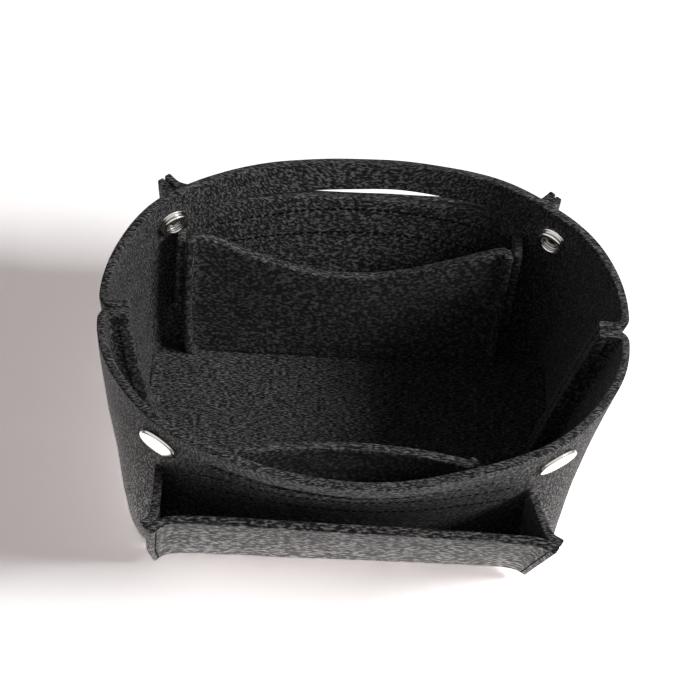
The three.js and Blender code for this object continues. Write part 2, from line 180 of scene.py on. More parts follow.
def boundary_edges(quads):
    """Edges that only one face uses, in that face's direction."""
    sides = [(q[i], q[(i + 1) % len(q)]) for q in quads for i in range(len(q))]
    known = set(sides)
    return [(a, b) for a, b in sides if (b, a) not in known]


def middle_normals(points, quads):
    normals = [Vector() for _ in points]
    for q in quads:
        across = (points[q[2]] - points[q[0]]).cross(points[q[3]] - points[q[1]])
        for i in q:
            normals[i] += across
    return [n.normalized() for n in normals]


def chains(edges):
    """Runs of edges joined end to end, each as a list of points."""
    following = dict(edges)
    starts = set(following) - set(following.values())
    runs = []
    for start in sorted(starts):
        run = [start]
        while run[-1] in following:
            run.append(following[run[-1]])
        runs.append(run)
    return runs


def felt_piece(name, points, quads, cut=()):
    """A closed felt sheet around a middle surface given in millimetres, with softly rounded cut edges.
    Points named in cut lie where a sheet is divided: there it ends square."""
    half = FELT / 2
    normals = middle_normals(points, quads)
    border = boundary_edges(quads)
    cut = set(cut)
    divided = [(a, b) for a, b in border if a in cut and b in cut]
    free = [(a, b) for a, b in border if not (a in cut and b in cut)]
    outward = {}
    for a, b in free:
        for end in (a, b):
            along = (points[b] - points[a]).normalized()
            outward.setdefault(end, []).append(along.cross(normals[end]).normalized())
    vertices = []
    near = []
    far = []
    rings = {}
    corner = CUT_ROUNDING * math.sin(math.pi / 4)
    for i, point in enumerate(points):
        normal = normals[i]
        if i not in outward:
            near.append(len(vertices))
            vertices.append(point + normal * half)
            far.append(len(vertices))
            vertices.append(point - normal * half)
            continue
        out = sum(outward[i], Vector()).normalized()
        if i in cut:
            out.x = 0
            out.normalize()
        miter = 1 / max(SHARPEST_MITER, out.dot(outward[i][0]))
        inset = point - out * (CUT_ROUNDING * miter)
        edge = point - out * ((CUT_ROUNDING - corner) * miter)
        upright = half - CUT_ROUNDING
        near.append(len(vertices))
        vertices.append(inset + normal * half)
        rings[i] = list(range(len(vertices), len(vertices) + 4))
        vertices.append(edge + normal * (upright + corner))
        vertices.append(point + normal * upright)
        vertices.append(point - normal * upright)
        vertices.append(edge - normal * (upright + corner))
        far.append(len(vertices))
        vertices.append(inset - normal * half)
    faces = [tuple(near[i] for i in q) for q in quads]
    faces += [tuple(far[i] for i in reversed(q)) for q in quads]
    for a, b in free:
        side_a = [near[a], *rings[a], far[a]]
        side_b = [near[b], *rings[b], far[b]]
        for step in range(len(side_a) - 1):
            faces.append((side_b[step], side_a[step], side_a[step + 1], side_b[step + 1]))
    for run in chains(divided):
        loop = [near[i] for i in reversed(run)] + rings[run[0]]
        loop += [far[i] for i in run] + rings[run[-1]][::-1]
        faces.append(tuple(loop))
    # What the insert stands on presses the lowest edges flat.
    vertices = [Vector((v.x, v.y, max(0.0, v.z))) for v in vertices]
    mesh = bpy.data.meshes.new(name)
    mesh.from_pydata([v * MM for v in vertices], [], faces)
    piece = bpy.data.objects.new(name, mesh)
    bpy.context.collection.objects.link(piece)
    mesh.materials.append(felt_material)
    bpy.ops.object.select_all(action="DESELECT")
    piece.select_set(True)
    bpy.context.view_layer.objects.active = piece
    bpy.ops.object.shade_smooth_by_angle(angle=FELT_SMOOTHING)
    return piece


def settled_piece(name, points, quads, cut=()):
    return felt_piece(name, [settled(p) for p in points], quads, cut)


def base_middle():
    """Middle surface of the floor: rows across the depth, each as long as the rounded outline allows."""
    half_depth = BASE_HALF_DEPTH - FELT + SEWN_TUCK
    straight_x = BASE_HALF_LENGTH - BASE_CORNER
    straight_y = BASE_HALF_DEPTH - BASE_CORNER
    corner = BASE_CORNER - FELT + SEWN_TUCK
    flat_steps = 26
    turn_steps = 6
    turn_rows = [
        straight_y + corner * math.sin(math.radians(90 * i / turn_steps)) for i in range(1, turn_steps + 1)]
    flat_rows = [straight_y * (-1 + 2 * i / flat_steps) for i in range(flat_steps + 1)]
    depths = [-y for y in reversed(turn_rows)] + flat_rows + turn_rows
    columns = 61
    points = []
    for y in depths:
        beyond = max(0.0, abs(y) - straight_y)
        reach = straight_x + math.sqrt(max(0.0, corner ** 2 - beyond ** 2))
        for c in range(columns):
            points.append(Vector((reach * (-1 + 2 * c / (columns - 1)), min(half_depth, y), FELT / 2)))
    return points, grid_quads(len(depths), columns)


base_points, base_quads = base_middle()
base = settled_piece("base_panel_felt", base_points, base_quads)
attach(base, "tub")
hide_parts("base_panel")

# Walls
# Two cuts of the same felt, front and back; each runs round its corners to the side seams in the middle of
# the ends, where both edges are turned in and sewn face to face. A long slit under the rim is the handle.

END_FLARE = 15.0
SIDE_FLARE = 21.0
RIM_HALF_LENGTH = BASE_HALF_LENGTH + END_FLARE
RIM_HALF_DEPTH = BASE_HALF_DEPTH + SIDE_FLARE
RIM_DIP = 6.0
SEAM_RADIUS = 5.5
SEAM_ALLOWANCE = 7.0
CREASE = 30.0
SLIT_HALF_LENGTH = 60.0
SLIT_HEIGHT = 5.6
SLIT_END_HEIGHT = 1.6
SLIT_GAPE = 34.0
FRONT_SLIT_WIDEST = -38.0
BACK_SLIT_WIDEST = 14.0
SLIT_BELOW_RIM = 16.0
STRIP_BOW = 0.5
FRONT_BOW = 2.4
BACK_BOW = 4.2
BOW_REACH = 76.0
END_FOLD = math.radians(25)
CORNER_STEPS = 12
RIM_STEPS = 60
END_STEPS = 10
SEAM_STEPS = 8
ALLOWANCE_STEPS = 3
SLIT_COLUMNS = 26
CORNER_COLUMNS = 20
HALVINGS = 24


def rim_height(x, y):
    turn = math.atan2(x / RIM_HALF_LENGTH, -y / RIM_HALF_DEPTH)
    return WALL_HEIGHT - RIM_DIP * math.cos(2 * turn) ** 2


def at_length(path, part):
    """Point and direction at a part of a path's whole length."""
    lengths = [0.0]
    for a, b in zip(path, path[1:]):
        lengths.append(lengths[-1] + (b - a).length)
    goal = part * lengths[-1]
    for i in range(len(path) - 1):
        if goal <= lengths[i + 1] or i == len(path) - 2:
            along = path[i + 1] - path[i]
            share = (goal - lengths[i]) / along.length
            return path[i] + along * share, along.normalized()


def arc(centre, radius_x, radius_y, start, end, steps):
    angles = [start + (end - start) * i / steps for i in range(steps + 1)]
    x, y = centre
    return [Vector((x + radius_x * math.cos(a), y + radius_y * math.sin(a))) for a in angles]


def front_paths():
    """Plan of the front wall's outer face from its middle to the left crease, at base and rim."""
    corner_x = -(BASE_HALF_LENGTH - BASE_CORNER)
    corner_y = -(BASE_HALF_DEPTH - BASE_CORNER)
    low = [Vector((0, -BASE_HALF_DEPTH))]
    low += arc((corner_x, corner_y), BASE_CORNER, BASE_CORNER, -math.pi / 2, -math.pi, CORNER_STEPS)
    low.append(Vector((-BASE_HALF_LENGTH, -CREASE)))
    depth = RIM_HALF_DEPTH - SEAM_RADIUS
    crease_angle = math.asin((CREASE - SEAM_RADIUS) / depth)
    crease = -math.pi + crease_angle
    high = arc((0, -SEAM_RADIUS), RIM_HALF_LENGTH, depth, -math.pi / 2, crease, RIM_STEPS)
    return low, high


def end_paths():
    """Plan of the outer face from the left crease round the turned seam to the edge of its allowance."""
    depth = RIM_HALF_DEPTH - SEAM_RADIUS
    crease_angle = math.asin((CREASE - SEAM_RADIUS) / depth)
    run = CREASE - SEAM_RADIUS
    low = [Vector((-BASE_HALF_LENGTH, -CREASE + run * i / END_STEPS)) for i in range(END_STEPS + 1)]
    high = arc((0, -SEAM_RADIUS), RIM_HALF_LENGTH, depth, -math.pi + crease_angle, -math.pi, END_STEPS)
    reach = SEAM_RADIUS - SEWN_GAP / 2
    for path, end in ((low, -BASE_HALF_LENGTH), (high, -RIM_HALF_LENGTH)):
        turn = (end + SEAM_RADIUS, -SEAM_RADIUS)
        path += arc(turn, SEAM_RADIUS, reach, -math.pi, -1.5 * math.pi, SEAM_STEPS)[1:]
        for i in range(1, ALLOWANCE_STEPS + 1):
            path.append(Vector((end + SEAM_RADIUS + SEAM_ALLOWANCE * i / ALLOWANCE_STEPS, -SEWN_GAP / 2)))
    return low, high


FRONT_LOW, FRONT_HIGH = front_paths()
END_LOW, END_HIGH = end_paths()


def wall_face(part, height, depth=0.0):
    """Point of the front wall at a depth under its outer face: part runs from its middle (0) to the left
    crease (1)."""
    low, low_way = at_length(FRONT_LOW, part)
    high, high_way = at_length(FRONT_HIGH, part)
    share = height / rim_height(high.x, high.y)
    foot = low + Vector((low_way.y, -low_way.x)) * depth
    head = high + Vector((high_way.y, -high_way.x)) * depth
    return Vector((*foot.lerp(head, share), height))


def rim_above(part):
    high, _ = at_length(FRONT_HIGH, part)
    return rim_height(high.x, high.y)


def part_at(x, height, depth=0.0):
    """Part of the front wall, from middle to crease, where the face at a depth is x to the left."""
    few, many = 0.0, 1.0
    for _ in range(HALVINGS):
        middle = (few + many) / 2
        if -wall_face(middle, height, depth).x < x:
            few = middle
        else:
            many = middle
    return (few + many) / 2


def wall_stand(x, height, depth=0.0):
    """How far the face at a depth stands from the middle plane of the tub."""
    return -wall_face(part_at(abs(x), height, depth), height, depth).y


SLIT_PART = part_at(SLIT_HALF_LENGTH, WALL_HEIGHT - RIM_DIP - SLIT_BELOW_RIM)


def aside(path, i, distance):
    """Point of a plan path moved to the right of its direction."""
    before = path[max(i - 1, 0)]
    after = path[min(i + 1, len(path) - 1)]
    along = (after - before).normalized()
    return path[i] + Vector((along.y, -along.x)) * distance


def bowed(point):
    """Both walls flare a little in their middle, close under the rim."""
    part = point.z / WALL_HEIGHT
    give = part ** 6 * max(0.0, 1 - (point.x / BOW_REACH) ** 2)
    return Vector((point.x, point.y + give * (-FRONT_BOW if point.y < 0 else BACK_BOW), point.z))


def slit_opening(x, widest):
    """The soft strip over the slit sags, so that the slit gapes only around its widest place."""
    gape = math.exp(-((x - widest) / SLIT_GAPE) ** 2) * (1 - (x / SLIT_HALF_LENGTH) ** 6)
    return SLIT_END_HEIGHT + (SLIT_HEIGHT - SLIT_END_HEIGHT) * gape


def wall_columns(widest):
    """Rulings of the front wall's left half: low and high points of its middle surface, and the slit."""
    parts = [SLIT_PART * i / SLIT_COLUMNS for i in range(SLIT_COLUMNS + 1)]
    parts += [SLIT_PART + (1 - SLIT_PART) * i / CORNER_COLUMNS for i in range(1, CORNER_COLUMNS + 1)]
    low = [at_length(FRONT_LOW, s)[0] for s in parts] + END_LOW[1:]
    high = [at_length(FRONT_HIGH, s)[0] for s in parts] + END_HIGH[1:]
    columns = []
    for i in range(len(low)):
        foot = aside(low, i, FELT / 2)
        head = aside(high, i, FELT / 2)
        top = rim_height(high[i].x, high[i].y)
        opening = 0.0
        if i < SLIT_COLUMNS:
            opening = slit_opening(SLIT_HALF_LENGTH * parts[i] / SLIT_PART, widest)
        columns.append((Vector((*foot, 0)), Vector((*head, top)), opening))
    return columns


def foot_height(x, y):
    """The turned seam allowance stands clear of the base where the end folds over it."""
    inside = x + BASE_HALF_LENGTH - FELT
    if y < -SEAM_RADIUS or inside <= 0:
        return 0.0
    return FLOOR_TOP + inside * math.tan(END_FOLD)


def wall_half(widest):
    """Middle surface of the front wall's left half, with its half of the handle slit."""
    rows_below = 34
    rows_above = 6
    points = []
    index = {}
    columns = wall_columns(widest)
    for c, (foot, head, opening) in enumerate(columns):
        top = head.z
        slit_low = top - SLIT_BELOW_RIM - opening / 2
        slit_high = top - SLIT_BELOW_RIM + opening / 2
        start = foot_height(foot.x, foot.y)
        heights = [start + (slit_low - start) * r / rows_below for r in range(rows_below + 1)]
        heights += [slit_high + (top - slit_high) * r / rows_above for r in range(rows_above + 1)]
        for r, height in enumerate(heights):
            joined = r == rows_below + 1 and opening == 0
            if not joined:
                place = foot.lerp(head, height / top)
                if r > rows_below:
                    place.y -= STRIP_BOW * (opening / SLIT_HEIGHT) ** 2
                points.append(place)
            index[r, c] = len(points) - 1
    quads = []
    last_row = rows_below + rows_above + 1
    for r in range(last_row):
        if r == rows_below:
            continue
        for c in range(len(columns) - 1):
            quads.append((index[r, c + 1], index[r, c], index[r + 1, c], index[r + 1, c + 1]))
    cut = [index[r, 0] for r in range(last_row + 1)]
    # The side seam is sewn two columns in from the edge of its allowance.
    seam_column = len(columns) - 3
    seam = [index[r, seam_column] for r in range(2, last_row)]
    return points, quads, cut, seam


def turned(points, mirror_x, mirror_y):
    return [Vector((p.x * (-1 if mirror_x else 1), p.y * (-1 if mirror_y else 1), p.z)) for p in points]


stitch_lines = []
for across, mirror_x in (("left", False), ("right", True)):
    for depth, mirror_y in (("front", False), ("back", True)):
        widest = BACK_SLIT_WIDEST if mirror_y else FRONT_SLIT_WIDEST
        if not mirror_x:
            widest = -widest
        points, quads, cut, seam = wall_half(widest)
        if mirror_x != mirror_y:
            quads = [tuple(reversed(q)) for q in quads]
        points = [settled(bowed(p)) for p in turned(points, mirror_x, mirror_y)]
        wall = felt_piece(f"{depth}_{across}_wall", points, quads, cut)
        normals = middle_normals(points, quads)
        line = [(points[i] - normals[i] * FELT / 2, -normals[i]) for i in seam]
        stitch_lines.append((f"{depth}_{across}_seam_stitches", line, f"{across}_end"))
        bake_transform(wall)
        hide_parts(f"{depth}_panel", f"{depth}_{across}_wing")

# Outer pockets
# A leaning felt panel on the front and one on the back, sewn to the wall just above the base. Each side is
# turned out in an ear and sewn face to face to a gusset, a second cut that turns back and runs to the wall.

PRESSED_GAP = 0.05
PANEL_COLUMNS = 80
OUTER_EAR = 7.0
OUTER_EAR_ROW = 2.6
OUTER_LIFT = 8.0
OUTER_TOP_HEIGHT = 84.0
OUTER_LEAN = 21.4
BACK_OUTER_LEAN = 23.0
OUTER_TUCK = 7.0
EAR_TAPER = 0.35
OUTER_GUSSET_START = 10.0
PANEL_ROWS = 26
GUSSET_ROWS = 24
GUSSET_COLUMNS = 16
BEND_STEPS = 6
LARGEST_BEND = 0.45
outer_stand = wall_stand(0, OUTER_LIFT) + SEWN_GAP + FELT
OUTER_BOTTOM = {
    "middle": -1.3, "half": 73.3, "y": -outer_stand, "z": OUTER_LIFT,
    "bow": 0.0, "slant": 0.0, "left_turn": math.radians(42), "right_turn": math.radians(30), "bend": 12.0}
FRONT_OUTER_TOP = {
    "middle": 0.45, "half": 73.25, "y": -outer_stand - OUTER_LEAN, "z": OUTER_TOP_HEIGHT,
    "bow": 0.0, "slant": 1.3, "left_turn": math.radians(46), "right_turn": math.radians(30), "bend": 6.0}
BACK_OUTER_TOP = {
    "middle": 1.0, "half": 76.5, "y": -outer_stand - BACK_OUTER_LEAN, "z": OUTER_TOP_HEIGHT,
    "bow": 0.0, "slant": 0.0, "left_turn": math.radians(46), "right_turn": math.radians(46), "bend": 6.0}


def rounded(corners, reach):
    """A plan path with its inner corners rounded, each over a reach on both sides."""
    path = [corners[0]]
    for before, corner, after in zip(corners, corners[1:], corners[2:]):
        back = before - corner
        onward = after - corner
        start = corner + back.normalized() * min(reach, back.length * LARGEST_BEND)
        end = corner + onward.normalized() * min(reach, onward.length * LARGEST_BEND)
        for i in range(BEND_STEPS + 1):
            part = i / BEND_STEPS
            path.append(start.lerp(corner, part).lerp(corner.lerp(end, part), part))
    path.append(corners[-1])
    return path


def spaced(path, columns, crowded=False):
    """Points along a path, evenly spaced, or up to twice as close at its ends."""
    parts = [c / columns for c in range(columns + 1)]
    if crowded:
        parts = [(s + 0.5 - 0.5 * math.cos(math.pi * s)) / 2 for s in parts]
    return [at_length(path, s)[0] for s in parts]


def panel_line(level, ear, columns):
    """Middle line of a pocket panel in plan, from the left ear's edge to the right ear's edge."""
    left_turn = level["left_turn"]
    right_turn = level["right_turn"]
    left = Vector((level["middle"] - level["half"], level["y"]))
    right = Vector((level["middle"] + level["half"], level["y"]))
    left_tip = left + Vector((-math.cos(left_turn), -math.sin(left_turn))) * ear
    right_tip = right + Vector((math.cos(right_turn), -math.sin(right_turn))) * ear
    path = spaced(rounded([left_tip, left, right, right_tip], level["bend"]), columns, True)
    for place in path:
        across = (place.x - level["middle"]) / level["half"]
        place.y -= level["bow"] * max(0.0, 1 - across ** 2) + level["slant"] * across
    return [aside(path, i, -FELT / 2) for i in range(len(path))]


def panel_middle(bottom, top, ear, dip=0.0):
    """Middle surface of a pocket panel; its top edge may dip between the ears."""
    rows = PANEL_ROWS
    columns = PANEL_COLUMNS
    low = panel_line(bottom, ear, columns)
    high = panel_line(top, ear, columns)
    points = []
    for r in range(rows + 1):
        for c in range(columns + 1):
            across = (high[c].x - top["middle"]) / top["half"]
            drop = dip * max(0.0, 1 - across ** 2) ** 1.5
            foot = Vector((*low[c], bottom["z"]))
            head = Vector((*high[c], top["z"] - drop))
            points.append(foot.lerp(head, r / rows))
    return points, grid_quads(rows + 1, columns + 1)


def gusset_middle(bottom, top, ear, side, wall, start, tuck=0.0):
    """Middle surface of a gusset: it lies against its ear, turns, and runs back to the wall, which it meets
    a tuck nearer to the middle."""
    rows = GUSSET_ROWS
    columns = GUSSET_COLUMNS
    layer = FELT + PRESSED_GAP
    points = []
    for r in range(rows + 1):
        height = start + (top["z"] - start) * r / rows
        part = (height - bottom["z"]) / (top["z"] - bottom["z"])
        level = {key: bottom[key] + (top[key] - bottom[key]) * part for key in bottom}
        turn = level["left_turn" if side < 0 else "right_turn"]
        beside = Vector((math.sin(turn), math.cos(turn))) * layer
        taper = EAR_TAPER + (1 - EAR_TAPER) * part
        out = Vector((math.cos(turn), -math.sin(turn))) * ear * taper
        y = level["y"] - level["slant"] * side
        corner = Vector((level["middle"] + side * (level["half"] + beside.x), y + beside.y))
        tip = Vector((corner.x + side * out.x, corner.y + out.y))
        foot = corner.x - side * tuck * part
        end = Vector((foot, wall(foot + side * FELT / 2, height)))
        path = spaced(rounded([tip, corner, end], level["bend"]), columns)
        points += [Vector((*aside(path, i, side * FELT / 2), height)) for i in range(columns + 1)]
    return points, grid_quads(rows + 1, columns + 1)


def ear_line(points, quads, columns, row_in, from_end):
    """Line on the outer face of a sheet, a little way in from its first or last column."""
    points = [settled(p) for p in points]
    normals = middle_normals(points, quads)
    line = []
    for first in range(columns, len(points) - columns, columns):
        row = list(range(first, first + columns))
        if from_end:
            row.reverse()
        gone = 0.0
        for a, b in zip(row, row[1:]):
            step = (points[b] - points[a]).length
            if gone + step >= row_in:
                out = normals[a]
                line.append((points[a].lerp(points[b], (row_in - gone) / step) + out * FELT / 2, out))
                break
            gone += step
    return line


def add_panel(pocket, points, quads, row_in, material):
    panel = settled_piece(f"{pocket}_panel_felt", points, quads)
    panel.data.materials[0] = material
    for number, from_end in enumerate((False, True), 1):
        line = ear_line(points, quads, PANEL_COLUMNS + 1, row_in, from_end)
        stitch_lines.append((f"{pocket}_ear_stitches_{number}", line, pocket))
    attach(panel, pocket)
    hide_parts(f"{pocket}_panel")


def add_gusset(pocket, side, points, quads):
    """A gusset made on its middle surface; its place is baked into its points."""
    gusset = settled_piece(f"{pocket}_{side}_gusset_felt", points, quads)
    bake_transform(gusset)
    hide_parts(f"{pocket}_{side}_gusset")


def outer_wall(x, height):
    return -wall_stand(x, height) + SEWN_TUCK


# The clumps of the outer panels are drawn longer and wider, so that they show on a face seen at a slant.
outer_felt_material = charcoal_felt("charcoal_needled_felt_long_clumps", (2.6, 0.8, 3.0))
# Two places on each outer gusset, turned for each pocket below but not used.
OUTER_FOLD = [Vector((0, -50, 0)), Vector((0, -60, -1.07))]
for pocket, around, top in (
        ("front_outer_pocket", False, FRONT_OUTER_TOP), ("back_outer_pocket", True, BACK_OUTER_TOP)):
    points, quads = panel_middle(OUTER_BOTTOM, top, OUTER_EAR)
    add_panel(
        pocket, turned(points, around, around), quads, OUTER_EAR_ROW,
        outer_felt_material)
    fold = turned(OUTER_FOLD, around, around)
    for side, tuck in ((-1, 0.0), (1, OUTER_TUCK)):
        points, quads = gusset_middle(
            OUTER_BOTTOM, top, OUTER_EAR, side, outer_wall, OUTER_GUSSET_START, tuck)
        hand = "left" if (side < 0) != around else "right"
        add_gusset(
            pocket, hand, turned(points, around, around), quads)

# Inner pockets
# Two more felt panels stand on the base inside: the back one with a dipped top edge, the front one bowed.
# Their sides are turned out in narrow ears and sewn to short gussets that run to the wall.

INNER_EAR = 2.0
INNER_GUSSET_EAR = 0.7
INNER_EAR_ROW = 1.0
INNER_GUSSET_START = 40.0
INNER_TOP_HEIGHT = 98.0
BACK_SHIFT = -5.0
BACK_DIP = 24.0
BACK_EAR = {"slant": 0.0, "left_turn": math.radians(98), "right_turn": math.radians(98), "bend": 2.5}
FRONT_EAR = {"slant": 0.0, "left_turn": math.radians(60), "right_turn": math.radians(60), "bend": 2.5}
BACK_BOTTOM = {"middle": BACK_SHIFT, "half": 66.5, "y": 44.3, "z": FLOOR_TOP, "bow": 0.6, **BACK_EAR}
BACK_TOP = {"middle": BACK_SHIFT, "half": 64.0, "y": 44.0, "z": INNER_TOP_HEIGHT, "bow": 1.0, **BACK_EAR}
FRONT_BOTTOM = {"middle": 0.0, "half": 66.5, "y": 42.5, "z": FLOOR_TOP, "bow": 0.0, **FRONT_EAR}
FRONT_TOP = {"middle": 4.5, "half": 48.5, "y": 52.0, "z": INNER_TOP_HEIGHT, "bow": 5.2, **FRONT_EAR}
BACK_FOLD = [Vector((0, 50.5, 0)), Vector((0, 46, 0))]
FRONT_FOLD = [Vector((0, -47.3, 0)), Vector((0, -44.1, 0.37))]


def inner_wall(x, height):
    return wall_stand(x, height, FELT) + SEWN_TUCK


BACK_FLAT = (0.137, 0.0942)
BACK_AREA = 0.0107
FRONT_FLAT = (0.137, 0.0946)
FRONT_AREA = 0.0115
for pocket, bottom, top, dip, around, fold, flat, area in (
        ("back_inner_pocket", BACK_BOTTOM, BACK_TOP, BACK_DIP, False, BACK_FOLD, BACK_FLAT, BACK_AREA),
        ("front_inner_pocket", FRONT_BOTTOM, FRONT_TOP, 0.0, True, FRONT_FOLD, FRONT_FLAT, FRONT_AREA)):
    points, quads = panel_middle(bottom, top, INNER_EAR, dip)
    add_panel(pocket, turned(points, around, around), quads, INNER_EAR_ROW, felt_material)
    for side in (-1, 1):
        points, quads = gusset_middle(bottom, top, INNER_GUSSET_EAR, side, inner_wall, INNER_GUSSET_START)
        hand = "left" if (side < 0) != around else "right"
        add_gusset(
            pocket, hand, turned(points, around, around), quads)

# Seam allowances on the floor
# Where each end meets the base the felt is sewn in a boxed corner; the edges of that seam, trimmed by hand,
# lie on the floor inside as uneven strips, two to an end.

STRIP_WIDTH = 4.6
STRIP_WAVE = 1.1
STRIP_WAVE_LENGTH = 7.0
STRIP_RISE = 0.5
STRIP_CURL = 0.6
STRIP_CURL_LENGTH = 9.0
STRIP_SINK = 0.4
# The noise that trims and curls a strip is read along two lines, at these distances.
TRIM_LINE = 4.2
CURL_LINE = 1.3
STRIP_START = 5.0
STRIP_END = 40.0


def strip_middle():
    """Middle surface of the strip at the left end, behind the side seam."""
    rows = 30
    columns = 5
    back = -BASE_HALF_LENGTH + FELT - SEWN_TUCK
    points = []
    for r in range(rows + 1):
        y = STRIP_START + (STRIP_END - STRIP_START) * r / rows
        wave = noise.noise(Vector((y / STRIP_WAVE_LENGTH, TRIM_LINE, 0.0)))
        width = STRIP_WIDTH + STRIP_WAVE * wave
        rise = STRIP_RISE + STRIP_CURL * noise.noise(Vector((y / STRIP_CURL_LENGTH, CURL_LINE, 0.0)))
        for c in range(columns + 1):
            part = c / columns
            points.append(Vector((back + width * part, y, FELT * 1.5 - STRIP_SINK + rise * (1 - part))))
    return points, grid_quads(rows + 1, columns + 1)


strip_points, strip_quads = strip_middle()
for across, mirror_x in (("left", False), ("right", True)):
    for depth, mirror_y in (("back", False), ("front", True)):
        quads = strip_quads
        if mirror_x != mirror_y:
            quads = [tuple(reversed(q)) for q in strip_quads]
        points = turned(strip_points, mirror_x, mirror_y)
        strip = settled_piece(f"{depth}_{across}_floor_seam", points, quads)
        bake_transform(strip)

# Snap fasteners
# Pressed brass with a bright nickel plate, one pair at each corner: a domed cap outside, clenched through
# the felt to a stud inside the front wall or to a socket with a spring ring inside the back wall.

FRONT_SNAP = 77.8
BACK_SNAP = 79.5
SNAP_BELOW_RIM = 17.0
FITTING_SIDES = 40
# Each ring of a fitting is its radius and its height over the felt.
CAP_RINGS = (
    (8.2, -0.9), (8.5, -0.4), (8.5, 0.35), (8.3, 0.7), (7.8, 0.95), (6.8, 1.15), (5.0, 1.35), (3.0, 1.5),
    (1.2, 1.55))
STUD_RINGS = (
    (6.5, -0.3), (6.5, 0.5), (6.2, 0.85), (5.2, 1.0), (3.6, 1.05), (3.1, 1.4), (3.0, 2.0), (3.35, 2.6),
    (3.5, 3.0), (3.3, 3.5), (2.7, 3.8), (1.9, 3.75), (1.6, 3.3), (0.9, 3.2))
SOCKET_RINGS = (
    (6.5, -0.3), (6.5, 0.4), (6.25, 0.75), (5.7, 0.85), (5.4, 1.15), (5.45, 1.5), (5.85, 1.8), (6.05, 2.2),
    (6.0, 2.7), (5.6, 3.1), (5.0, 3.2), (4.5, 3.0), (4.2, 2.65), (4.95, 2.6), (4.95, 1.15), (4.2, 1.1),
    (4.1, 0.9), (2.2, 0.9), (1.9, 1.2), (1.1, 1.3))
FITTING_SMOOTHING = math.radians(60)
CAP_TILT = math.radians(5)
SPRING_RADIUS = 4.3
SPRING_WIRE = 0.4
SPRING_HEIGHT = 1.9
SPRING_OPENING = math.radians(30)
SPRING_STEPS = 36
SPRING_SIDES = 8
# The slope of the wall at a snap is read this far to both sides of it, as a part of the wall and in height.
SLOPE_PART = 0.03
SLOPE_HEIGHT = 4.0


def nickel_plate():
    """Bright nickel plate on pressed brass: a warm white mirror, faintly clouded where it was tumbled."""
    material, tree = new_material("bright_nickel_plate")
    place = add_node(tree, "ShaderNodeTexCoord").outputs["Object"]
    # Tumbling leaves a haze of about 1 mm.
    haze = add_node(tree, "ShaderNodeTexNoise", {}, {"Vector": place, "Scale": 1 / 0.001, "Detail": 2.0})
    dull = add_node(tree, "ShaderNodeMapRange", {}, {
        "Value": haze.outputs["Fac"], "From Min": 0.3, "From Max": 0.7, "To Min": 0.12, "To Max": 0.24})
    surface = add_node(tree, "ShaderNodeBsdfPrincipled", {}, {
        "Base Color": linear("#dcd9d4"), "Metallic": 1.0, "Roughness": dull.outputs["Result"]})
    add_node(tree, "ShaderNodeOutputMaterial", {}, {"Surface": surface.outputs["BSDF"]})
    return material


def drawn_spring_wire():
    """Drawn spring steel: grey and half bright, with fine marks of the die along the wire."""
    material, tree = new_material("drawn_spring_steel")
    place = add_node(tree, "ShaderNodeTexCoord").outputs["Object"]
    # Die marks are drawn 0.3 mm apart so that they show.
    marks = add_node(tree, "ShaderNodeTexNoise", {}, {"Vector": place, "Scale": 1 / 0.0003, "Detail": 1.0})
    dull = add_node(tree, "ShaderNodeMapRange", {}, {
        "Value": marks.outputs["Fac"], "From Min": 0.3, "From Max": 0.7, "To Min": 0.25, "To Max": 0.4})
    surface = add_node(tree, "ShaderNodeBsdfPrincipled", {}, {
        "Base Color": linear("#aeb0b2"), "Metallic": 1.0, "Roughness": dull.outputs["Result"]})
    add_node(tree, "ShaderNodeOutputMaterial", {}, {"Surface": surface.outputs["BSDF"]})
    return material


nickel_material = nickel_plate()
spring_material = drawn_spring_wire()


def pressed_fitting(name, rings):
    """A disc of sheet metal drawn up ring by ring."""
    bpy.ops.object.select_all(action="DESELECT")
    radius, height = rings[0]
    bpy.ops.mesh.primitive_circle_add(
        vertices=FITTING_SIDES, radius=radius * MM, fill_type="NGON", location=(0, 0, height * MM))
    bpy.ops.object.transform_apply(location=True, rotation=False, scale=False)
    fitting = bpy.context.object
    fitting.name = name
    bpy.ops.object.mode_set(mode="EDIT")
    bpy.ops.mesh.select_all(action="SELECT")
    for (before, low), (after, high) in zip(rings, rings[1:]):
        bpy.ops.mesh.extrude_region_move(TRANSFORM_OT_translate={"value": (0, 0, (high - low) * MM)})
        share = after / before
        bpy.ops.transform.resize(value=(share, share, 1), center_override=(0, 0, high * MM))
    bpy.ops.mesh.select_all(action="SELECT")
    bpy.ops.mesh.fill_holes(sides=0)
    bpy.ops.mesh.normals_make_consistent(inside=False)
    bpy.ops.object.mode_set(mode="OBJECT")
    bpy.ops.object.shade_smooth_by_angle(angle=FITTING_SMOOTHING)
    return fitting


def split_ring(name):
    """A ring of wire with an opening, its two ends closed."""
    bpy.ops.object.select_all(action="DESELECT")
    bpy.ops.mesh.primitive_torus_add(
        major_segments=SPRING_STEPS, minor_segments=SPRING_SIDES,
        major_radius=SPRING_RADIUS * MM, minor_radius=SPRING_WIRE * MM)
    ring = bpy.context.object
    ring.name = name
    bpy.context.tool_settings.mesh_select_mode = (False, False, True)
    for face in ring.data.polygons:
        face.select = abs(math.atan2(face.center.y, face.center.x)) < SPRING_OPENING
    bpy.ops.object.mode_set(mode="EDIT")
    bpy.ops.mesh.delete(type="FACE")
    bpy.ops.mesh.select_all(action="SELECT")
    bpy.ops.mesh.fill_holes(sides=0)
    bpy.ops.mesh.normals_make_consistent(inside=False)
    bpy.ops.transform.translate(value=(0, 0, SPRING_HEIGHT * MM))
    bpy.ops.object.mode_set(mode="OBJECT")
    bpy.ops.object.shade_smooth_by_angle(angle=FITTING_SMOOTHING)
    return ring


